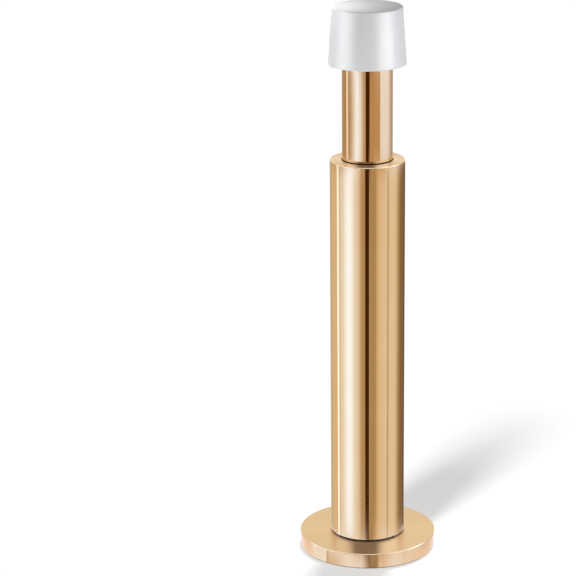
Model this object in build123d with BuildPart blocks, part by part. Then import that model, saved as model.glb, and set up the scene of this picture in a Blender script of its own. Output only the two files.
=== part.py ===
from build123d import *
import math
import os

os.makedirs("parts", exist_ok=True)

# A telescoping door stop: a spring holds a rod with a rubber cap out of a tube.
# It stands on its foot with the common axis on Z and the floor at Z = 0, extended.

# Rod
rod_diameter = 13.4
rod_out = 25.6
rod_in_tube = 49.0
rod_in_cap = 11.0
rod_edge = 0.6
spigot_length = 3.0
spigot_clearance = 0.2

# Tube around the rod
tube_length = 105.3
tube_wall = 2.8
tube_edge = 0.4
tube_foot_edge = 0.5
mouth_edge = 0.4
guide_length = 18.0
running_clearance = 0.05
chamber_clearance = 0.5

# Bush pressed in the tube's foot, with the thread for the boss
bush_length = 6.6
bush_recess = 0.4
bush_shoulder = 0.6
bush_edge = 0.4
thread_clearance = 0.05

# Foot with its hollow boss
flange_height = 4.2
flange_margin = 8.5
flange_edge = 0.35
flange_foot_edge = 0.2
boss_height = 5.0
boss_wall = 1.2
boss_edge = 0.5
cup_floor = 3.2
cup_clearance = 0.3
cup_edge = 0.4
screw_hole_diameter = 4.0
screw_head_angle = 90.0

# Spring under the rod
spring_shelf = 2.2
wire_diameter = 0.8
coil_pitch = 2.4
closed_turns = 1.75
closed_gap = 0.05
ground_tip = 0.16
chords_per_turn = 16
wire_sides = 6

# Snap ring that keeps the rod in the tube
ring_thickness = 1.0
ring_depth = 0.7
ring_opening = 3.0
ring_clearance = 0.1
groove_clearance = 0.05
stop_gap = 0.2

# Rubber cap
cap_height = 15.2
cap_lower_wall = 3.6
cap_upper_wall = 2.6
cap_lower_edge = 0.4
cap_upper_edge = 0.6
bead_height = 2.0
bead_depth = 0.6
bead_drop = 3.0

# Diameters that follow from what fits in what
guide_diameter = rod_diameter + 2 * running_clearance
chamber_diameter = rod_diameter + 2 * chamber_clearance
tube_diameter = chamber_diameter + 2 * tube_wall
flange_diameter = tube_diameter + 2 * flange_margin
spring_diameter = rod_diameter - 2 * spring_shelf
coil_diameter = spring_diameter - wire_diameter
spring_bore = spring_diameter - 2 * wire_diameter
spigot_diameter = spring_bore - 2 * spigot_clearance
cup_diameter = spring_diameter + 2 * cup_clearance
boss_diameter = cup_diameter + 2 * boss_wall
bush_diameter = chamber_diameter + 2 * bush_shoulder
bush_bore = boss_diameter + 2 * thread_clearance
ring_groove_diameter = rod_diameter - 2 * ring_depth
bead_diameter = rod_diameter - 2 * bead_depth
cap_lower_diameter = rod_diameter + 2 * cap_lower_wall
cap_upper_diameter = rod_diameter + 2 * cap_upper_wall

# Heights above the floor
boss_top = flange_height + boss_height
bush_bottom = flange_height + bush_recess
tube_top = flange_height + tube_length
guide_bottom = tube_top - guide_length
ring_top = guide_bottom - stop_gap
ring_bottom = ring_top - ring_thickness
rod_bottom = tube_top - rod_in_tube
cap_bottom = tube_top + rod_out
rod_top = cap_bottom + rod_in_cap
cap_top = cap_bottom + cap_height
bead_top = rod_top - bead_drop
bead_bottom = bead_top - bead_height


# Foot: a disc with the boss standing on it, both turned from one bar
with BuildPart() as base_flange:
    with BuildSketch(Plane.XY):
        Circle(flange_diameter / 2)
    extrude(amount=flange_height)
    chamfer(base_flange.edges().group_by(Axis.Z)[-1], flange_edge)
    chamfer(base_flange.edges().group_by(Axis.Z)[0], flange_foot_edge)
    with BuildSketch(Plane.XY.offset(flange_height)):
        Circle(boss_diameter / 2)
    extrude(amount=boss_height)
    chamfer(base_flange.edges().group_by(Axis.Z)[-1], boss_edge)

    # The cup in the boss holds the foot of the spring
    with BuildSketch(Plane.XY.offset(cup_floor)):
        Circle(cup_diameter / 2)
    extrude(amount=boss_top - cup_floor, mode=Mode.SUBTRACT)
    cup_mouth = base_flange.edges().group_by(Axis.Z)[-1].sort_by(SortBy.RADIUS)[0]
    chamfer(cup_mouth, cup_edge)

    # The screw's head lies inside the spring's end coil
    with Locations((0, 0, cup_floor)):
        CounterSinkHole(
            radius=screw_hole_diameter / 2,
            counter_sink_radius=spring_bore / 2,
            depth=cup_floor,
            counter_sink_angle=screw_head_angle,
        )
base_flange.part.label = "base_flange"
export_step(base_flange.part, "parts/base_flange.step")


# Tube: a wide chamber for the spring and the ring, and a close guide at the mouth
with BuildPart() as body_tube:
    with BuildSketch(Plane.XY.offset(flange_height)):
        Circle(tube_diameter / 2)
    extrude(amount=tube_length)
    chamfer(body_tube.edges().group_by(Axis.Z)[-1], tube_edge)
    chamfer(body_tube.edges().group_by(Axis.Z)[0], tube_foot_edge)
    with BuildSketch(Plane.XY.offset(flange_height)):
        Circle(chamber_diameter / 2)
    extrude(amount=tube_length - guide_length, mode=Mode.SUBTRACT)
    with BuildSketch(Plane.XY.offset(guide_bottom)):
        Circle(guide_diameter / 2)
    extrude(amount=guide_length, mode=Mode.SUBTRACT)
    tube_mouth = body_tube.edges().group_by(Axis.Z)[-1].sort_by(SortBy.RADIUS)[0]
    chamfer(tube_mouth, mouth_edge)

    # Seat of the bush, up to its shoulder
    with BuildSketch(Plane.XY.offset(flange_height)):
        Circle(bush_diameter / 2)
    extrude(amount=bush_recess + bush_length, mode=Mode.SUBTRACT)
body_tube.part.label = "body_tube"
export_step(body_tube.part, "parts/body_tube.step")


# Bush: pressed against the shoulder, a little inside the tube's end, so that the tube
# itself draws down on the foot
with BuildPart() as threaded_bush:
    with BuildSketch(Plane.XY.offset(bush_bottom)):
        Circle(bush_diameter / 2)
        Circle(bush_bore / 2, mode=Mode.SUBTRACT)
    extrude(amount=bush_length)
    bush_ends = threaded_bush.edges().filter_by(GeomType.CIRCLE).group_by(SortBy.RADIUS)[0]
    chamfer(bush_ends, bush_edge)
threaded_bush.part.label = "threaded_bush"
export_step(threaded_bush.part, "parts/threaded_bush.step")


# Rod: solid bar with a spigot for the spring and two grooves, one for the snap ring and
# one for the cap's bead
with BuildPart() as plunger:
    with BuildSketch(Plane.XY.offset(rod_bottom)):
        Circle(rod_diameter / 2)
    extrude(amount=rod_top - rod_bottom)
    rod_ends = plunger.edges().filter_by(GeomType.CIRCLE)
    chamfer(rod_ends, rod_edge)
    with BuildSketch(Plane.XY.offset(rod_bottom)):
        Circle(spigot_diameter / 2)
    extrude(amount=-spigot_length)
    chamfer(plunger.edges().group_by(Axis.Z)[0], rod_edge)
    with BuildSketch(Plane.XY.offset(ring_bottom - groove_clearance)):
        Circle(rod_diameter / 2)
        Circle(ring_groove_diameter / 2, mode=Mode.SUBTRACT)
    extrude(amount=ring_thickness + 2 * groove_clearance, mode=Mode.SUBTRACT)
    with BuildSketch(Plane.XY.offset(bead_bottom)):
        Circle(rod_diameter / 2)
        Circle(bead_diameter / 2, mode=Mode.SUBTRACT)
    extrude(amount=bead_height, mode=Mode.SUBTRACT)
plunger.part.label = "plunger"
export_step(plunger.part, "parts/plunger.step")


# Snap ring: open, so that it springs into its groove
with BuildPart() as stop_ring:
    with BuildSketch(Plane.XY.offset(ring_bottom)):
        Circle(chamber_diameter / 2 - ring_clearance)
        Circle(ring_groove_diameter / 2 + groove_clearance, mode=Mode.SUBTRACT)
        with Locations((chamber_diameter / 2, 0)):
            Rectangle(chamber_diameter, ring_opening, mode=Mode.SUBTRACT)
    extrude(amount=ring_thickness)
stop_ring.part.label = "stop_ring"
export_step(stop_ring.part, "parts/stop_ring.step")


# Spring: the wire climbs slowly in the closed turns at both ends and by the coil pitch
# between them, and its ends are ground flat on the cup's floor and the rod's underside
closed_pitch = wire_diameter + closed_gap
wire_start = cup_floor - wire_diameter / 2 + ground_tip
wire_end = rod_bottom + wire_diameter / 2 - ground_tip
closed_rise = closed_turns * closed_pitch
active_rise = wire_end - wire_start - 2 * closed_rise
active_turns = active_rise / coil_pitch
total_turns = active_turns + 2 * closed_turns


def wire_height(turn):
    lower_turns = min(turn, closed_turns)
    middle_turns = min(max(turn - closed_turns, 0), active_turns)
    upper_turns = max(turn - closed_turns - active_turns, 0)
    return wire_start + (lower_turns + upper_turns) * closed_pitch + middle_turns * coil_pitch


chord_count = round(total_turns * chords_per_turn)
coil_points = []
for step in range(chord_count + 1):
    turn = total_turns * step / chord_count
    angle = 2 * math.pi * turn
    x = coil_diameter / 2 * math.cos(angle)
    y = coil_diameter / 2 * math.sin(angle)
    coil_points.append((x, y, wire_height(turn)))

with BuildPart() as spring:
    with BuildLine() as coil_path:
        Polyline(*coil_points)
    with BuildSketch(Plane(origin=coil_path.line @ 0, z_dir=coil_path.line % 0)):
        RegularPolygon(wire_diameter / 2, wire_sides)
    sweep(path=coil_path.line, transition=Transition.RIGHT)
    split(bisect_by=Plane.XY.offset(cup_floor), keep=Keep.TOP)
    split(bisect_by=Plane.XY.offset(rod_bottom), keep=Keep.BOTTOM)
spring.part.label = "spring"
export_step(spring.part, "parts/spring.step")


# Cap: a moulded rubber cone frustum with a blind socket and a bead that snaps in the
# rod's upper groove
with BuildPart() as bumper_cap:
    with BuildSketch(Plane.XZ):
        with BuildLine():
            Polyline(
                (0, cap_bottom),
                (cap_lower_diameter / 2, cap_bottom),
                (cap_upper_diameter / 2, cap_top),
                (0, cap_top),
                close=True,
            )
        make_face()
    revolve(axis=Axis.Z)
    cap_rims = bumper_cap.edges().filter_by(GeomType.CIRCLE).sort_by(Axis.Z)
    chamfer(cap_rims[-1], cap_upper_edge)
    chamfer(cap_rims[0], cap_lower_edge)
    with BuildSketch(Plane.XY.offset(cap_bottom)):
        Circle(rod_diameter / 2)
    extrude(amount=rod_in_cap, mode=Mode.SUBTRACT)
    with BuildSketch(Plane.XY.offset(bead_bottom)):
        Circle(rod_diameter / 2)
        Circle(bead_diameter / 2, mode=Mode.SUBTRACT)
    extrude(amount=bead_height)
bumper_cap.part.label = "bumper_cap"
export_step(bumper_cap.part, "parts/bumper_cap.step")
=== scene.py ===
import math

import bpy
from mathutils import Matrix, Vector


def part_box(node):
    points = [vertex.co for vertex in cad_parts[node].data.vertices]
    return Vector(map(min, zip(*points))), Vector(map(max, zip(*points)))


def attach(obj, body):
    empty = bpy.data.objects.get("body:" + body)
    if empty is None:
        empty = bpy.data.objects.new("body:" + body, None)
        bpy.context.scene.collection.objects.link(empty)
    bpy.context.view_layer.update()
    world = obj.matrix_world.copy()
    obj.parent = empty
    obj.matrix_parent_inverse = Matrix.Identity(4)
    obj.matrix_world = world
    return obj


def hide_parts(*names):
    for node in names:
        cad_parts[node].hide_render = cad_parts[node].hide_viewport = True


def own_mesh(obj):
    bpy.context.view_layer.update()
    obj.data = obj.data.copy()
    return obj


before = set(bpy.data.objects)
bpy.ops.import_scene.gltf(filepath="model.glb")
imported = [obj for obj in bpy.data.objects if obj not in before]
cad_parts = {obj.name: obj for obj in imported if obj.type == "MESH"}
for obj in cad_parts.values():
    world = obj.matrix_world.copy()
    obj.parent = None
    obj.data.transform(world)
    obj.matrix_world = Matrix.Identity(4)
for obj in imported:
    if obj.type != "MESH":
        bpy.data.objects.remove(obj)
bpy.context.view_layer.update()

bpy.ops.object.select_all(action="DESELECT")


# Camera. The stop stands right of the middle of the picture, seen from a little above
# through a long lens, level, so that its axis stays upright.
SENSOR_MM = 36
PICTURE_WIDTH = 576
FOCAL_PIXELS = 2400
AXIS_COLUMN = 367.38
LOOK_DOWN = math.radians(17.31)
camera_place = Vector((0, -0.61578, 0.26565))

camera_data = bpy.data.cameras.new("camera")
camera_data.sensor_width = SENSOR_MM
camera_data.lens = camera_data.sensor_width * FOCAL_PIXELS / PICTURE_WIDTH
camera = bpy.data.objects.new("camera", camera_data)
bpy.context.scene.collection.objects.link(camera)
aside = math.atan((AXIS_COLUMN - PICTURE_WIDTH / 2) / FOCAL_PIXELS)
camera.matrix_world = (
    Matrix.Translation(camera_place)
    @ Matrix.Rotation(math.pi / 2 - LOOK_DOWN, 4, "X")
    @ Matrix.Rotation(aside, 4, "Y")
)
bpy.context.scene.camera = camera
bpy.context.scene.view_settings.view_transform = "Standard"


# Floor. A white sheet that turns into a light table away from the stop, so that it reads as
# plain white in the picture and the shadows fade along their length. The main sun behind
# the camera's left shoulder lays the long shadow, and a high one behind the stop the short
# soft one in front of the foot.
FLOOR_SIDE = 4.0
SHEET_WHITE = 0.775
SHEET_UP_TO, TABLE_FROM = 0.055, 0.128
GLOW_NEAR, GLOW_FAR = 0.17, 1.02
# A sun is (name, azimuth it shines towards from +Y to +X, height, spread, strength).
SUNS = [
    ("main_sun", 27.6, 38, 11, 2.52),
    ("back_sun", -167.5, 68, 6, 1.45),
]


def add_node(tree, kind, links=None, **settings):
    node = tree.nodes.new(kind)
    for name, value in settings.items():
        setattr(node, name, value)
    for socket, value in (links or {}).items():
        if isinstance(value, bpy.types.NodeSocket):
            tree.links.new(value, node.inputs[socket])
        else:
            node.inputs[socket].default_value = value
    return node


def new_material(name):
    material = bpy.data.materials.new(name)
    material.use_nodes = True
    material.node_tree.nodes.clear()
    return material, material.node_tree


paper, tree = new_material("white_paper")
rays = add_node(tree, "ShaderNodeLightPath")
place = add_node(tree, "ShaderNodeTexCoord")
distance = add_node(
    tree, "ShaderNodeVectorMath", {0: place.outputs["Object"]}, operation="LENGTH"
)
away = {"Value": distance.outputs["Value"], "From Min": SHEET_UP_TO, "From Max": TABLE_FROM}
sheet = add_node(tree, "ShaderNodeMapRange", {**away, "To Min": SHEET_WHITE, "To Max": 0})
strength = add_node(tree, "ShaderNodeMapRange", {**away, "To Min": GLOW_NEAR, "To Max": GLOW_FAR})
matt = add_node(tree, "ShaderNodeBsdfDiffuse", {"Color": sheet.outputs["Result"]})
glow = add_node(tree, "ShaderNodeEmission", {"Strength": strength.outputs["Result"]})
lit = add_node(tree, "ShaderNodeAddShader", {0: matt.outputs[0], 1: glow.outputs[0]})
seen = add_node(
    tree,
    "ShaderNodeMixShader",
    {"Fac": rays.outputs["Is Camera Ray"], 1: matt.outputs[0], 2: lit.outputs[0]},
)
add_node(tree, "ShaderNodeOutputMaterial", {"Surface": seen.outputs[0]})

bpy.ops.mesh.primitive_plane_add(size=FLOOR_SIDE)
floor = bpy.context.object
floor.name = "floor"
floor.data.materials.append(paper)
floor.visible_glossy = False

sunlit = bpy.data.collections.new("sunlit")
sunlit.objects.link(floor)
tall_pieces = bpy.data.collections.new("tall_pieces")
for name, azimuth, above, spread, power in SUNS:
    sun_data = bpy.data.lights.new(name, "SUN")
    sun_data.energy = power
    sun_data.angle = math.radians(spread)
    sun = bpy.data.objects.new(name, sun_data)
    sun.matrix_world = (
        Matrix.Rotation(math.radians(-azimuth), 4, "Z")
        @ Matrix.Rotation(math.radians(90 - above), 4, "X")
    )
    bpy.context.scene.collection.objects.link(sun)
    sun.light_linking.receiver_collection = sunlit
    if name == "main_sun":
        sun.light_linking.blocker_collection = tall_pieces


# Studio light. Matt surfaces see an even white room. Polished ones see what a product
# photographer hangs round a shiny part: a round wall of softboxes and flags, over it a
# warm one behind the part and two bright ones in front with a gap for the camera, and a
# ceiling.
ROOM_LIGHT = 0.18

# The camera looks down, so the stop's upright sides mirror what hangs lower than they
# stand. The wall therefore hangs below the floor, which reflections pass through, with a
# row of cards each for the rod, the tube and the foot's rim.
WALL_RADIUS = 1.0
WALL_SIDES = 180
WALL_TOP = -0.07
WALL_BOTTOM = -1.2
ROD_ROW_FROM = -0.1457
RIM_ROW_BELOW = -0.4214
RIM_ROW_LEAN = 0.0030
ROW_BLEND = 0.0006
UNDER_TABLE, UNDER_BLEND = -0.75, 0.15
TABLE_LIGHT = (0.10, 0.06, 0.03)

# A card is (from, its edge's softness, to, its edge's softness, light). The angles are in
# degrees round the axis, from the camera's side towards +X.
WALL_FOR_TUBE = (0.90, 0.82, 0.66)
CARDS_FOR_TUBE = [
    (-178, 2, -138, 22, (0.70, 0.63, 0.47)),
    (-107, 3, -97, 3, (1.40, 1.85, 2.60)),
    (-97.5, 2, -90, 3, (0.90, 0.93, 0.98)),
    (-91, 4, -28, 26, (1.08, 1.25, 1.62)),
    (-73, 22, -46, 20, (1.34, 1.86, 3.15)),
    (-21, 14, -5, 2, (0.58, 0.48, 0.36)),
    (-7, 1.5, 5.5, 1.5, (0.07, 0.025, 0.0)),
    (6.5, 2, 28, 10, (0.55, 0.45, 0.31)),
    (36, 12, 101, 22, (0.98, 0.95, 0.90)),
    (50, 20, 101, 22, (1.01, 1.03, 1.07)),
    (63, 2, 69.5, 3, (0.68, 0.66, 0.61)),
    (109, 38, 178, 4, (0.30, 0.22, 0.135)),
    (146, 16, 179, 2, (0.15, 0.12, 0.09)),
]
WALL_FOR_ROD = (0.60, 0.50, 0.40)
CARDS_FOR_ROD = [
    (-180, 2, -104, 8, (0.54, 0.43, 0.29)),
    (-110.5, 3, -98, 2.5, (1.22, 1.24, 1.42)),
    (-73, 32, -19, 22, (1.06, 1.24, 1.66)),
    (-56, 18, -36, 18, (1.26, 1.71, 2.90)),
    (-20, 16, -5, 3, (0.70, 0.62, 0.56)),
    (-8, 3.5, 10, 2.5, (0.08, 0.02, 0.0)),
    (15, 4, 58, 6, (0.66, 0.47, 0.28)),
    (60, 7, 121, 42, (1.09, 1.31, 1.92)),
    (138, 30, 178, 4, (0.56, 0.52, 0.46)),
]
WALL_FOR_RIM = (1.14, 1.12, 1.28)
CARDS_FOR_RIM = [
    (-108, 34, -74, 2, (1.19, 1.44, 2.02)),
    (-74, 2, -69.5, 2, (0.66, 0.54, 0.44)),
    (-69, 2, -4, 10, (0.91, 0.80, 0.76)),
    (-46, 28, -5, 14, (1.20, 1.43, 2.12)),
    (-1, 12, 18.5, 7, (0.43, 0.36, 0.30)),
    (24, 8, 76, 60, (1.00, 0.96, 1.05)),
    (34, 30, 76, 60, (1.17, 1.36, 1.95)),
]


def smooth_step(tree, value, start, end):
    settings = {"Value": value, "From Min": start, "From Max": end}
    step = add_node(tree, "ShaderNodeMapRange", settings, interpolation_type="SMOOTHSTEP")
    return step.outputs["Result"]


def mix_light(tree, share, first, second):
    links = {"Factor": share, 4: first, 5: second}
    mixed = add_node(tree, "ShaderNodeMix", links, data_type="VECTOR")
    return mixed.outputs[1]


def hang_cards(tree, angle, wall, cards):
    light = wall
    for start, start_soft, end, end_soft, card_light in cards:
        rise = smooth_step(tree, angle, start - start_soft / 2, start + start_soft / 2)
        fall = smooth_step(tree, angle, end + end_soft / 2, end - end_soft / 2)
        window = add_node(tree, "ShaderNodeMath", {0: rise, 1: fall}, operation="MULTIPLY")
        light = mix_light(tree, window.outputs[0], light, card_light)
    return light


cards, tree = new_material("studio_cards")
place = add_node(tree, "ShaderNodeTexCoord")
parts = add_node(tree, "ShaderNodeSeparateXYZ", {0: place.outputs["Object"]})
back = add_node(tree, "ShaderNodeMath", {0: parts.outputs["Y"], 1: -1.0}, operation="MULTIPLY")
turn = add_node(
    tree, "ShaderNodeMath", {0: parts.outputs["X"], 1: back.outputs[0]}, operation="ARCTAN2"
)
degrees = add_node(tree, "ShaderNodeMath", {0: turn.outputs[0]}, operation="DEGREES")
height = parts.outputs["Z"]
angle = degrees.outputs[0]
tube_row = hang_cards(tree, angle, WALL_FOR_TUBE, CARDS_FOR_TUBE)
rod_row = hang_cards(tree, angle, WALL_FOR_ROD, CARDS_FOR_ROD)
rim_row = hang_cards(tree, angle, WALL_FOR_RIM, CARDS_FOR_RIM)
in_rod_row = smooth_step(tree, height, ROD_ROW_FROM - ROW_BLEND, ROD_ROW_FROM + ROW_BLEND)
# The edge of the rim's row hangs lower in front, where the foot is nearest to the wall.
lean = {0: back.outputs[0], 1: RIM_ROW_LEAN, 2: height}
leaning = add_node(tree, "ShaderNodeMath", lean, operation="MULTIPLY_ADD")
below_tube = smooth_step(
    tree, leaning.outputs[0], RIM_ROW_BELOW + ROW_BLEND, RIM_ROW_BELOW - ROW_BLEND
)
under_table = smooth_step(tree, height, UNDER_TABLE + UNDER_BLEND, UNDER_TABLE)
upper_rows = mix_light(tree, in_rod_row, tube_row, rod_row)
rows = mix_light(tree, below_tube, upper_rows, rim_row)
all_light = mix_light(tree, under_table, rows, TABLE_LIGHT)
glow = add_node(tree, "ShaderNodeEmission", {"Color": all_light})
add_node(tree, "ShaderNodeOutputMaterial", {"Surface": glow.outputs[0]})
cards.cycles.emission_sampling = "NONE"

bpy.ops.mesh.primitive_cylinder_add(
    vertices=WALL_SIDES, radius=WALL_RADIUS, depth=WALL_TOP - WALL_BOTTOM, end_fill_type="NOTHING"
)
wall = bpy.context.object
wall.name = "card_wall"
wall.data.transform(Matrix.Translation((0, 0, (WALL_TOP + WALL_BOTTOM) / 2)))
wall.data.materials.append(cards)
wall.visible_camera = False
wall.visible_diffuse = False
wall.visible_transmission = False
wall.visible_shadow = False

# Above the wall and below it the light depends on the direction alone, given as parts of a
# unit vector: how far back it points, how far aside and how far up.
BACK_LIGHT = (1.06, 1.07, 1.00)
FRONT_LIGHT = (1.80, 2.50, 4.20)
GAP_LIGHT = (0.05, 0.01, 0.00)
GAP_SHIFT, GAP_FROM, GAP_TO = 0.08, 0.42, 0.88
FRONT_FROM, FRONT_TO = 0.55, 0.25
FRONT_FULL_UP_TO, FRONT_NONE_FROM = 0.68, 0.78
CEILING_LIGHT = (1.22, 1.45, 2.00)
CEILING_FROM, CEILING_TO = 0.72, 0.88
BELOW_FROM, BELOW_TO = -0.6, -0.75

room = bpy.data.worlds.new("room")
bpy.context.scene.world = room
room.use_nodes = True
tree = room.node_tree
tree.nodes.clear()
rays = add_node(tree, "ShaderNodeLightPath")
way = add_node(tree, "ShaderNodeTexCoord")
parts = add_node(tree, "ShaderNodeSeparateXYZ", {0: way.outputs["Generated"]})
off_middle = add_node(tree, "ShaderNodeMath", {0: parts.outputs["X"], 1: GAP_SHIFT})
aside_part = add_node(tree, "ShaderNodeMath", {0: off_middle.outputs[0]}, operation="ABSOLUTE")
up = parts.outputs["Z"]
off_gap = smooth_step(tree, aside_part.outputs[0], GAP_FROM, GAP_TO)
in_front = smooth_step(tree, parts.outputs["Y"], FRONT_FROM, FRONT_TO)
level = smooth_step(tree, up, FRONT_NONE_FROM, FRONT_FULL_UP_TO)
front_part = add_node(tree, "ShaderNodeMath", {0: in_front, 1: level}, operation="MULTIPLY")
front = mix_light(tree, off_gap, GAP_LIGHT, FRONT_LIGHT)
low = mix_light(tree, front_part.outputs[0], BACK_LIGHT, front)
above = mix_light(tree, smooth_step(tree, up, CEILING_FROM, CEILING_TO), low, CEILING_LIGHT)
studio = mix_light(tree, smooth_step(tree, up, BELOW_FROM, BELOW_TO), above, TABLE_LIGHT)
white = add_node(tree, "ShaderNodeBackground", {"Color": (1, 1, 1, 1), "Strength": 1.0})
even = add_node(tree, "ShaderNodeBackground", {"Color": (1, 1, 1, 1), "Strength": ROOM_LIGHT})
shiny = add_node(tree, "ShaderNodeBackground", {"Color": studio, "Strength": 1.0})
matt_or_shiny = add_node(
    tree,
    "ShaderNodeMixShader",
    {"Fac": rays.outputs["Is Glossy Ray"], 1: even.outputs[0], 2: shiny.outputs[0]},
)
all_light = add_node(
    tree,
    "ShaderNodeMixShader",
    {"Fac": rays.outputs["Is Camera Ray"], 1: matt_or_shiny.outputs[0], 2: white.outputs[0]},
)
add_node(tree, "ShaderNodeOutputWorld", {"Surface": all_light.outputs[0]})
room.cycles.sampling_method = "NONE"


# Foot. A disc and the hollow boss on it, turned from one brass bar, with an M12 by 1
# thread cut on the boss, then polished and gold plated. The screw that holds it to the
# floor goes through the middle.
_, boss_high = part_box("base_flange")
tube_low, tube_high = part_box("body_tube")
FLANGE_RADIUS = boss_high.x
FLANGE_TOP = tube_low.z
BOSS_TOP = boss_high.z
FLANGE_EDGE = 0.0002
FLANGE_FOOT_EDGE = 0.0002
BOSS_RADIUS = 0.006
BOSS_EDGE = 0.0005
CUP_RADIUS = 0.0048
CUP_FLOOR = 0.0032
CUP_EDGE = 0.0004
SCREW_RADIUS = 0.002
SCREW_HEAD_RADIUS = 0.0037
THREAD_PITCH = 0.001
THREAD_DEPTH = 0.0006
THREAD_CREST = 0.125
THREAD_ROOT = 0.182
UNDERCUT = 0.0006
RINGS_PER_PITCH = 12
AROUND = 192
BROKEN_EDGE = 0.00006
MERGE_WITHIN = 1e-6
ON_BLANK = 1e-5
SHARP_FROM = 20


def turn_ring(radius_from, radius_to, rise):
    bpy.ops.mesh.extrude_edges_move(TRANSFORM_OT_translate={"value": (0, 0, rise)})
    scale = radius_to / radius_from
    bpy.ops.transform.resize(value=(scale, scale, 1), center_override=(0, 0, 0))


# A profile that starts and ends on the axis makes a solid piece, any other a hollow one.
def turned(name, profile, around=AROUND):
    bpy.ops.object.select_all(action="DESELECT")
    solid = profile[0][0] == 0
    rings = profile[1:] if solid else profile[1:] + profile[:1]
    radius, height = rings.pop(0) if solid else profile[0]
    bpy.ops.mesh.primitive_circle_add(
        vertices=around,
        radius=radius,
        location=(0, 0, height),
        fill_type="TRIFAN" if solid else "NOTHING",
    )
    piece = bpy.context.object
    piece.name = name
    bpy.ops.object.transform_apply(location=True)
    bpy.ops.object.mode_set(mode="EDIT")
    bpy.ops.mesh.select_mode(type="EDGE")
    bpy.ops.mesh.select_all(action="SELECT")
    if solid:
        bpy.ops.mesh.region_to_loop()
    for next_radius, next_height in rings:
        turn_ring(radius, next_radius, next_height - height)
        radius, height = next_radius, next_height
    bpy.ops.mesh.select_all(action="SELECT")
    bpy.ops.mesh.remove_doubles(threshold=MERGE_WITHIN)
    bpy.ops.mesh.normals_make_consistent(inside=False)
    bpy.ops.object.mode_set(mode="OBJECT")
    return piece


def break_edges(piece, width=BROKEN_EDGE, angle=SHARP_FROM):
    bpy.context.view_layer.objects.active = piece
    piece.select_set(True)
    bpy.ops.object.shade_smooth()
    bevel = piece.modifiers.new("broken_edges", "BEVEL")
    bevel.width = width
    bevel.segments = 2
    bevel.limit_method = "ANGLE"
    bevel.angle_limit = math.radians(angle)
    bevel.harden_normals = True
    bpy.ops.object.modifier_apply(modifier=bevel.name)
    piece.select_set(False)


def steps(start, end, length):
    count = round(abs(end - start) / length)
    return [start + (end - start) * step / count for step in range(count + 1)]


def thread_radius(height, angle):
    off_crest = abs((height / THREAD_PITCH - angle / math.tau) % 1 - 0.5)
    flank = (1 - THREAD_CREST - THREAD_ROOT) / 2
    share = min(max((off_crest - THREAD_CREST / 2) / flank, 0), 1)
    return BOSS_RADIUS - THREAD_DEPTH * share


def cut_thread(piece, blank_radius, radius_at):
    for vertex in piece.data.vertices:
        x, y, z = vertex.co
        if abs(math.hypot(x, y) - blank_radius) < ON_BLANK:
            scale = radius_at(z, math.atan2(y, x)) / blank_radius
            vertex.co = (x * scale, y * scale, z)


def boss_radius(height, angle):
    if height < FLANGE_TOP + UNDERCUT:
        return BOSS_RADIUS - THREAD_DEPTH
    lead_in = BOSS_RADIUS - BOSS_EDGE + BOSS_TOP - height
    return min(thread_radius(height, angle), lead_in)


ring_rise = THREAD_PITCH / RINGS_PER_PITCH
foot = turned(
    "foot",
    [
        (SCREW_RADIUS, 0),
        (FLANGE_RADIUS - FLANGE_FOOT_EDGE, 0),
        (FLANGE_RADIUS, FLANGE_FOOT_EDGE),
        (FLANGE_RADIUS, FLANGE_TOP - FLANGE_EDGE),
        (FLANGE_RADIUS - FLANGE_EDGE, FLANGE_TOP),
        *[(BOSS_RADIUS, height) for height in steps(FLANGE_TOP, BOSS_TOP, ring_rise)],
        (CUP_RADIUS + CUP_EDGE, BOSS_TOP),
        (CUP_RADIUS, BOSS_TOP - CUP_EDGE),
        (CUP_RADIUS, CUP_FLOOR),
        (SCREW_HEAD_RADIUS, CUP_FLOOR),
        (SCREW_RADIUS, CUP_FLOOR - (SCREW_HEAD_RADIUS - SCREW_RADIUS)),
    ],
)
break_edges(foot)
cut_thread(foot, BOSS_RADIUS, boss_radius)
# The tube doesn't mirror the foot.
foot.visible_glossy = False
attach(foot, "stand")
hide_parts("base_flange")

# Gold plate over polished brass: a mirror with a soft buff to it, warm yellow. Faint
# buffing clouds, some 12 mm across, vary its gloss and its tone by a little.
GOLD = "#DEB888"
GOLD_PALE = "#E0BC8D"
POLISH_ROUGHNESS = 0.06
BUFF_ROUGHNESS = 0.085
PER_METRE = 1000
BUFF_CLOUD = 12
LINE_SOFT = 0.00006
# The colour of the thin lines of painted shade on the plate.
PAINTED_SHADE_DARK = "#3A1C08"
NOISE_LOW, NOISE_HIGH = 0.3, 0.7


def linear(colour):
    values = [int(colour[i:i + 2], 16) / 255 for i in (1, 3, 5)]
    return [v / 12.92 if v <= 0.04045 else ((v + 0.055) / 1.055) ** 2.4 for v in values]


def noise(tree, vector, size_mm, detail=2.0):
    links = {"Vector": vector, "Scale": PER_METRE / size_mm, "Detail": detail}
    return add_node(tree, "ShaderNodeTexNoise", links)


def blend_colours(tree, share, first, second):
    links = {"Factor": share, 6: first, 7: second}
    return add_node(tree, "ShaderNodeMix", links, data_type="RGBA").outputs[2]


def vary(tree, share, first, second):
    span = {"From Min": NOISE_LOW, "From Max": NOISE_HIGH, "To Min": first, "To Max": second}
    return add_node(tree, "ShaderNodeMapRange", {"Value": share, **span}).outputs["Result"]
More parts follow.
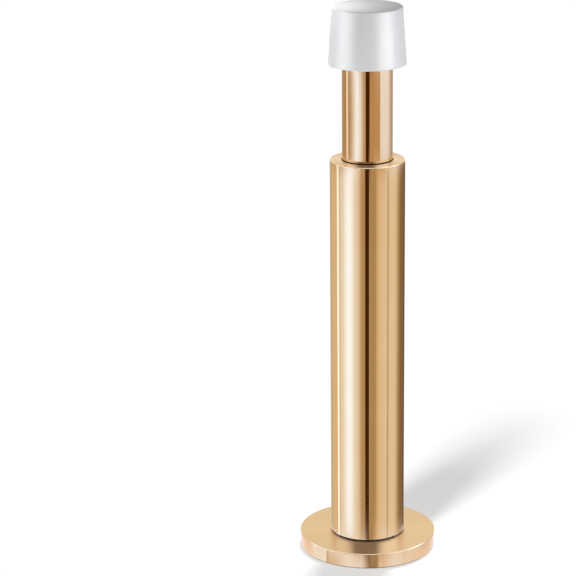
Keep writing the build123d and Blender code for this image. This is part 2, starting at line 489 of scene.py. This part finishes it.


# Between two given heights a thin dark line is painted on the plate: painted shade, as in a joint
# or a gap.
def gold_plate(name, painted_shade_line=None):
    material, tree = new_material(name)
    place = add_node(tree, "ShaderNodeTexCoord")
    clouds = noise(tree, place.outputs["Object"], BUFF_CLOUD)
    tone = vary(tree, clouds.outputs["Fac"], 0.0, 1.0)
    colour = blend_colours(tree, tone, (*linear(GOLD), 1), (*linear(GOLD_PALE), 1))
    if painted_shade_line:
        low, high = painted_shade_line
        parts = add_node(tree, "ShaderNodeSeparateXYZ", {0: place.outputs["Object"]})
        over = smooth_step(tree, parts.outputs["Z"], low - LINE_SOFT, low + LINE_SOFT)
        under = smooth_step(tree, parts.outputs["Z"], high + LINE_SOFT, high - LINE_SOFT)
        in_line = add_node(tree, "ShaderNodeMath", {0: over, 1: under}, operation="MULTIPLY")
        colour = blend_colours(tree, in_line.outputs[0], colour, (*linear(PAINTED_SHADE_DARK), 1))
    roughness = vary(tree, clouds.outputs["Fac"], POLISH_ROUGHNESS, BUFF_ROUGHNESS)
    links = {"Base Color": colour, "Metallic": 1.0, "Roughness": roughness}
    shader = add_node(tree, "ShaderNodeBsdfPrincipled", links)
    add_node(tree, "ShaderNodeOutputMaterial", {"Surface": shader.outputs[0]})
    return material, tree, place, shader


# Painted shade darkens a thin line along the foot's lower edge, where it meets the floor.
FOOT_SHADE_LINE = 0.00016
BELOW_FLOOR = -0.001

polished_gold, *_ = gold_plate("polished_gold_plate", (BELOW_FLOOR, FOOT_SHADE_LINE))

# The faces across the axis are finish turned, not buffed: fine rings, a tenth of a
# millimetre apart, spread a reflection along the radius.
TURNED_ROUGHNESS = 0.275
TURNING_MARK = 0.1
MARK_HEIGHT = 0.000002
QUARTER_TURN = 0.25
FACES_UP = 0.98
TURNED_SLOT, BORE_SLOT = 1, 2

turned_gold, tree, place, shader = gold_plate("turned_gold_plate")
flat_place = add_node(
    tree, "ShaderNodeVectorMath", {0: place.outputs["Object"], 1: (1, 1, 0)}, operation="MULTIPLY"
)
from_axis = add_node(
    tree, "ShaderNodeVectorMath", {0: flat_place.outputs[0]}, operation="LENGTH"
)
marks = add_node(
    tree,
    "ShaderNodeTexNoise",
    {"W": from_axis.outputs["Value"], "Scale": PER_METRE / TURNING_MARK, "Detail": 1.0},
    noise_dimensions="1D",
)
bump = add_node(
    tree, "ShaderNodeBump", {"Height": marks.outputs["Fac"], "Distance": MARK_HEIGHT}
)
around_axis = add_node(tree, "ShaderNodeTangent", direction_type="RADIAL", axis="Z")
tree.links.new(bump.outputs[0], shader.inputs["Normal"])
tree.links.new(around_axis.outputs[0], shader.inputs["Tangent"])
tree.links.remove(shader.inputs["Roughness"].links[0])
shader.inputs["Roughness"].default_value = TURNED_ROUGHNESS
shader.inputs["Anisotropic"].default_value = 1.0
shader.inputs["Anisotropic Rotation"].default_value = QUARTER_TURN


def gild(piece, *materials):
    for material in materials:
        piece.data.materials.append(material)
    for face in piece.data.polygons:
        if face.normal.z > FACES_UP:
            face.material_index = TURNED_SLOT


gild(foot, polished_gold, turned_gold)


# Tube. Brass, turned and gold plated, with a wide bore for the spring and a closer one at
# the mouth that guides the rod. It screws down on the boss and stands on the foot.
TUBE_RADIUS = tube_high.x
TUBE_TOP = tube_high.z
TUBE_EDGE = 0.0002
TUBE_FOOT_EDGE = 0.0005
GUIDE_RADIUS = 0.00675
MOUTH_EDGE = 0.0001
GUIDE_LENGTH = 0.018
CHAMBER_RADIUS = 0.0072
bush_low, bush_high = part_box("threaded_bush")
BUSH_RADIUS = bush_high.x
BUSH_TOP = bush_high.z

tube = turned(
    "tube",
    [
        (BUSH_RADIUS, FLANGE_TOP),
        (TUBE_RADIUS - TUBE_FOOT_EDGE, FLANGE_TOP),
        (TUBE_RADIUS, FLANGE_TOP + TUBE_FOOT_EDGE),
        (TUBE_RADIUS, TUBE_TOP - TUBE_EDGE),
        (TUBE_RADIUS - TUBE_EDGE, TUBE_TOP),
        (GUIDE_RADIUS + MOUTH_EDGE, TUBE_TOP),
        (GUIDE_RADIUS, TUBE_TOP - MOUTH_EDGE),
        (GUIDE_RADIUS, TUBE_TOP - GUIDE_LENGTH),
        (CHAMBER_RADIUS, TUBE_TOP - GUIDE_LENGTH),
        (CHAMBER_RADIUS, BUSH_TOP),
        (BUSH_RADIUS, BUSH_TOP),
    ],
)
break_edges(tube)
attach(tube, "stand")
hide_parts("body_tube")

# The same plate, with a line of painted shade in the joint with the foot. The bore is neither
# polished nor plated: dull brass under a film of oil, uneven over some 5 mm, its colour
# darkened to paint the shade inside it.
JOINT_SHADE_LINE = 0.00036
BORE_BRASS_SHADED = "#7A5A2E"
BORE_BRASS_SHADED_DARK = "#64491F"
BORE_ROUGHNESS = (0.35, 0.5)
OIL_FILM = 5
FACES_AXIS = -1e-6

joint_shade = (FLANGE_TOP + BELOW_FLOOR, FLANGE_TOP + JOINT_SHADE_LINE)
tube_gold, *_ = gold_plate("tube_gold_plate", joint_shade)
bore_brass, tree = new_material("bore_brass_painted_shade")
place = add_node(tree, "ShaderNodeTexCoord")
film = noise(tree, place.outputs["Object"], OIL_FILM)
tone = vary(tree, film.outputs["Fac"], 0.0, 1.0)
links = {
    "Base Color": blend_colours(tree, tone, (*linear(BORE_BRASS_SHADED), 1), (*linear(BORE_BRASS_SHADED_DARK), 1)),
    "Metallic": 1.0,
    "Roughness": vary(tree, film.outputs["Fac"], *BORE_ROUGHNESS),
}
shader = add_node(tree, "ShaderNodeBsdfPrincipled", links)
add_node(tree, "ShaderNodeOutputMaterial", {"Surface": shader.outputs[0]})
gild(tube, tube_gold, turned_gold, bore_brass)
# The inner faces take the oiled brass, darkened to paint the shade inside the bore.
for face in tube.data.polygons:
    outward = face.normal.x * face.center.x + face.normal.y * face.center.y
    if outward < FACES_AXIS:
        face.material_index = BORE_SLOT


# Bush. Plain brass ring, pressed in the tube's foot against its shoulder. Its inner thread
# takes the boss, and both its mouths are countersunk for it.
BUSH_BOTTOM = bush_low.z
BUSH_BORE = 0.00605
BUSH_EDGE = 0.0004
THREAD_PLAY = 0.00005
BRASS = "#CBA55C"
BRASS_DULL = "#B08C4A"
BRASS_ROUGHNESS = (0.22, 0.36)
BRASS_HAZE = 3


def bush_radius(height, angle):
    depth = min(height - BUSH_BOTTOM, BUSH_TOP - height)
    return max(thread_radius(height, angle) + THREAD_PLAY, BUSH_BORE + BUSH_EDGE - depth)


bush = turned(
    "bush",
    [
        (BUSH_RADIUS, BUSH_BOTTOM),
        (BUSH_RADIUS, BUSH_TOP),
        *[(BUSH_BORE, height) for height in steps(BUSH_TOP, BUSH_BOTTOM, ring_rise)],
    ],
)
break_edges(bush)
cut_thread(bush, BUSH_BORE, bush_radius)
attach(bush, "stand")
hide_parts("threaded_bush")

# Bare brass, a little dulled, with machining haze some 3 mm across.
plain_brass, tree = new_material("plain_turned_brass")
place = add_node(tree, "ShaderNodeTexCoord")
haze = noise(tree, place.outputs["Object"], BRASS_HAZE)
tone = vary(tree, haze.outputs["Fac"], 0.0, 1.0)
links = {
    "Base Color": blend_colours(tree, tone, (*linear(BRASS), 1), (*linear(BRASS_DULL), 1)),
    "Metallic": 1.0,
    "Roughness": vary(tree, haze.outputs["Fac"], *BRASS_ROUGHNESS),
}
shader = add_node(tree, "ShaderNodeBsdfPrincipled", links)
add_node(tree, "ShaderNodeOutputMaterial", {"Surface": shader.outputs[0]})
bush.data.materials.append(plain_brass)


# Rod. Solid turned bar, gold plated, with a spigot for the spring below and grooves for
# the snap ring and for the cap's bead.
rod_low, rod_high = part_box("plunger")
ring_low, ring_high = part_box("stop_ring")
_, spring_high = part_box("spring")
cap_low, cap_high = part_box("bumper_cap")
ROD_RADIUS = rod_high.x
ROD_TOP = rod_high.z
ROD_BOTTOM = spring_high.z
ROD_EDGE = 0.0006
SPIGOT_RADIUS = 0.0035
SPIGOT_BOTTOM = rod_low.z
RING_GROOVE_RADIUS = 0.006
GROOVE_CLEARANCE = 0.00005
BEAD_RADIUS = 0.0061
BEAD_DROP = 0.003
BEAD_HEIGHT = 0.002
BEAD_TOP = ROD_TOP - BEAD_DROP
BEAD_BOTTOM = BEAD_TOP - BEAD_HEIGHT

rod = turned(
    "rod",
    [
        (0, SPIGOT_BOTTOM),
        (SPIGOT_RADIUS - ROD_EDGE, SPIGOT_BOTTOM),
        (SPIGOT_RADIUS, SPIGOT_BOTTOM + ROD_EDGE),
        (SPIGOT_RADIUS, ROD_BOTTOM),
        (ROD_RADIUS - ROD_EDGE, ROD_BOTTOM),
        (ROD_RADIUS, ROD_BOTTOM + ROD_EDGE),
        (ROD_RADIUS, ring_low.z - GROOVE_CLEARANCE),
        (RING_GROOVE_RADIUS, ring_low.z - GROOVE_CLEARANCE),
        (RING_GROOVE_RADIUS, ring_high.z + GROOVE_CLEARANCE),
        (ROD_RADIUS, ring_high.z + GROOVE_CLEARANCE),
        (ROD_RADIUS, BEAD_BOTTOM),
        (BEAD_RADIUS, BEAD_BOTTOM),
        (BEAD_RADIUS, BEAD_TOP),
        (ROD_RADIUS, BEAD_TOP),
        (ROD_RADIUS, ROD_TOP - ROD_EDGE),
        (ROD_RADIUS - ROD_EDGE, ROD_TOP),
        (0, ROD_TOP),
    ],
)
break_edges(rod)
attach(rod, "rod")
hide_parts("plunger")

# The same plate, with a thin dark line of painted shade on the rod where it enters the
# tube's mouth.
LINE_ABOVE = 0.0003
LINE_BELOW = 0.0012

rod_gold, *_ = gold_plate("rod_gold_plate_painted_shade", (TUBE_TOP - LINE_BELOW, TUBE_TOP + LINE_ABOVE))
gild(rod, rod_gold, turned_gold)


# Snap ring. Flat open ring of hardened spring steel, bright zinc plated, in the rod's lower
# groove, where it meets the guide and keeps the rod in the tube. It stays the CAD piece.
STEEL = "#C9CBCE"
STEEL_DARK = "#B4B7BB"
STEEL_ROUGHNESS = (0.20, 0.32)
STEEL_STREAK = 1.5

# Zinc plate with drawing streaks and faint stains, some 1.5 mm across.
zinc_steel, tree = new_material("zinc_plated_spring_steel")
place = add_node(tree, "ShaderNodeTexCoord")
streaks = noise(tree, place.outputs["Object"], STEEL_STREAK)
tone = vary(tree, streaks.outputs["Fac"], 0.0, 1.0)
links = {
    "Base Color": blend_colours(tree, tone, (*linear(STEEL), 1), (*linear(STEEL_DARK), 1)),
    "Metallic": 1.0,
    "Roughness": vary(tree, streaks.outputs["Fac"], *STEEL_ROUGHNESS),
}
shader = add_node(tree, "ShaderNodeBsdfPrincipled", links)
add_node(tree, "ShaderNodeOutputMaterial", {"Surface": shader.outputs[0]})
snap_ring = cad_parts["stop_ring"]
snap_ring.data.materials.clear()
snap_ring.data.materials.append(zinc_steel)


# Spring. Wound from round zinc plated wire, with closed ends ground flat on the cup's floor
# and on the rod's underside.
WIRE_RADIUS = 0.0004
COIL_RADIUS = 0.0041
COIL_PITCH = 0.0024
CLOSED_TURNS = 1.75
CLOSED_PITCH = 0.00085
GROUND_TIP = 0.00016
STEPS_PER_TURN = 36
GROUND_EDGE_FROM = 40

wire_start = CUP_FLOOR - WIRE_RADIUS + GROUND_TIP
wire_end = ROD_BOTTOM + WIRE_RADIUS - GROUND_TIP
active_rise = wire_end - wire_start - 2 * CLOSED_TURNS * CLOSED_PITCH
active_turns = active_rise / COIL_PITCH
all_turns = active_turns + 2 * CLOSED_TURNS


def wire_height(turns):
    lower = min(turns, CLOSED_TURNS)
    middle = min(max(turns - CLOSED_TURNS, 0), active_turns)
    upper = max(turns - CLOSED_TURNS - active_turns, 0)
    return wire_start + (lower + upper) * CLOSED_PITCH + middle * COIL_PITCH


wire = bpy.data.curves.new("spring", "CURVE")
wire.dimensions = "3D"
wire.bevel_depth = WIRE_RADIUS
wire.bevel_resolution = 4
wire.use_fill_caps = True
wire_line = wire.splines.new("POLY")
chords = round(all_turns * STEPS_PER_TURN)
wire_line.points.add(chords)
for step, point in enumerate(wire_line.points):
    turns = all_turns * step / chords
    angle = math.tau * turns
    x, y = COIL_RADIUS * math.cos(angle), COIL_RADIUS * math.sin(angle)
    point.co = (x, y, wire_height(turns), 1)
spring = bpy.data.objects.new("spring_wire", wire)
bpy.context.scene.collection.objects.link(spring)
bpy.ops.object.select_all(action="DESELECT")
spring.select_set(True)
bpy.context.view_layer.objects.active = spring
bpy.ops.object.convert(target="MESH")
spring = bpy.context.object
bpy.ops.object.mode_set(mode="EDIT")
for ground_at, keep_above in ((CUP_FLOOR, True), (ROD_BOTTOM, False)):
    bpy.ops.mesh.select_all(action="SELECT")
    bpy.ops.mesh.bisect(
        plane_co=(0, 0, ground_at),
        plane_no=(0, 0, 1),
        use_fill=True,
        clear_inner=keep_above,
        clear_outer=not keep_above,
    )
bpy.ops.mesh.select_all(action="SELECT")
bpy.ops.mesh.remove_doubles(threshold=MERGE_WITHIN)
bpy.ops.mesh.normals_make_consistent(inside=False)
bpy.ops.object.mode_set(mode="OBJECT")
bpy.ops.object.shade_smooth_by_angle(angle=math.radians(GROUND_EDGE_FROM))
spring.data.materials.clear()
spring.data.materials.append(zinc_steel)
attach(spring, "stand")
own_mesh(spring)
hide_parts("spring")


# Cap. White rubber buffer, moulded with a slight draft and rounded edges, pushed on the
# rod until its inner bead snaps in the groove.
CAP_LOWER_RADIUS = 0.0103
CAP_UPPER_RADIUS = 0.0093
CAP_BOTTOM = cap_low.z
CAP_TOP = cap_high.z
CAP_LOWER_EDGE = 0.0002
CAP_UPPER_EDGE = 0.0004
EDGE_STEPS = 6
SOCKET_EDGE = 0.0001
SOCKET_SHARP_FROM = 40


def rounded_rim(radius, height, edge, start, end):
    points = []
    for step in range(EDGE_STEPS + 1):
        angle = math.radians(start + (end - start) * step / EDGE_STEPS)
        out, up = math.cos(angle), math.sin(angle)
        points.append((radius - edge + edge * out, height + edge * up))
    return points


cap_draft = math.atan2(CAP_LOWER_RADIUS - CAP_UPPER_RADIUS, CAP_TOP - CAP_BOTTOM)
draft = math.degrees(cap_draft)
lean_in = math.tan(cap_draft)
upper_radius = CAP_UPPER_RADIUS + CAP_UPPER_EDGE * lean_in
lower_radius = CAP_LOWER_RADIUS - CAP_LOWER_EDGE * lean_in
cap = turned(
    "cap",
    [
        (0, CAP_TOP),
        *rounded_rim(upper_radius, CAP_TOP - CAP_UPPER_EDGE, CAP_UPPER_EDGE, 90, draft),
        *rounded_rim(lower_radius, CAP_BOTTOM + CAP_LOWER_EDGE, CAP_LOWER_EDGE, draft, -90),
        (ROD_RADIUS, CAP_BOTTOM),
        (ROD_RADIUS, BEAD_BOTTOM),
        (BEAD_RADIUS, BEAD_BOTTOM),
        (BEAD_RADIUS, BEAD_TOP),
        (ROD_RADIUS, BEAD_TOP),
        (ROD_RADIUS, ROD_TOP),
        (0, ROD_TOP),
    ],
)
break_edges(cap, SOCKET_EDGE, SOCKET_SHARP_FROM)
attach(cap, "rod")
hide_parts("bumper_cap")

# White rubber from a finely eroded mould: satin, with a grain of 0.15 mm and a faint
# unevenness of tone over some 8 mm.
RUBBER_WHITE = "#D8D8D8"
RUBBER_GREY = "#D4D4D4"
RUBBER_ROUGHNESS = 0.36
RUBBER_GLOSS = 0.14
RUBBER_CLOUD = 8
MOULD_GRAIN = 0.15
GRAIN_HEIGHT = 0.000003

rubber, tree = new_material("moulded_white_rubber")
place = add_node(tree, "ShaderNodeTexCoord")
clouds = noise(tree, place.outputs["Object"], RUBBER_CLOUD)
tone = vary(tree, clouds.outputs["Fac"], 0.0, 1.0)
grain = noise(tree, place.outputs["Object"], MOULD_GRAIN)
bump = add_node(
    tree, "ShaderNodeBump", {"Height": grain.outputs["Fac"], "Distance": GRAIN_HEIGHT}
)
colour = blend_colours(tree, tone, (*linear(RUBBER_WHITE), 1), (*linear(RUBBER_GREY), 1))
links = {
    "Base Color": colour,
    "Roughness": RUBBER_ROUGHNESS,
    "Specular IOR Level": RUBBER_GLOSS,
    "Normal": bump.outputs[0],
}
shader = add_node(tree, "ShaderNodeBsdfPrincipled", links)
add_node(tree, "ShaderNodeOutputMaterial", {"Surface": shader.outputs[0]})
cap.data.materials.append(rubber)

# Only the tall pieces stand in the main sun's way, so that the low foot adds no crescent to
# the long shadow.
for piece in (tube, rod, cap):
    tall_pieces.objects.link(piece)

# Lamps for the cap alone. A lamp is (name, azimuth from the camera's side towards +X,
# height, distance, width, height of its face, how far off the axis it aims, watts, lights
# matt surfaces, shows in gloss).
CAP_MIDDLE = (CAP_BOTTOM + CAP_TOP) / 2
CAP_LAMPS = [
    ("wide_left", -80, 0.088, 0.35, 0.30, 0.12, 0, 1.09, True, False),
    ("front", 0, 0.088, 0.35, 0.20, 0.12, 0, 0.38, True, False),
    ("wide_right", 62, 0.088, 0.35, 0.20, 0.12, 0, 0.94, True, False),
    ("strip_left", -68, 0.12, 0.35, 0.30, 0.40, 0, 4.4, False, True),
    ("strip_right", 58, 0.12, 0.35, 0.30, 0.40, 0, 8.4, False, True),
    ("near_left", -90, 0.164, 0.010, 0.012, 0.012, 0.010, 0.0028, True, False),
]

lit_cap = bpy.data.collections.new("lit_cap")
lit_cap.objects.link(cap)
for name, azimuth, height, distance, width, tall, aim_out, watts, matt, gloss in CAP_LAMPS:
    lamp_data = bpy.data.lights.new(name, "AREA")
    lamp_data.shape = "RECTANGLE"
    lamp_data.size = width
    lamp_data.size_y = tall
    lamp_data.energy = watts
    lamp = bpy.data.objects.new(name, lamp_data)
    turn = math.radians(azimuth)
    out = Vector((math.sin(turn), -math.cos(turn), 0))
    place = distance * out + Vector((0, 0, height))
    aim = aim_out * out + Vector((0, 0, CAP_MIDDLE)) - place
    facing = aim.to_track_quat("-Z", "Y").to_matrix().to_4x4()
    lamp.matrix_world = Matrix.Translation(place) @ facing
    lamp.visible_camera = False
    lamp.visible_diffuse = matt
    lamp.visible_glossy = gloss
    lamp.light_linking.receiver_collection = lit_cap
    bpy.context.scene.collection.objects.link(lamp)
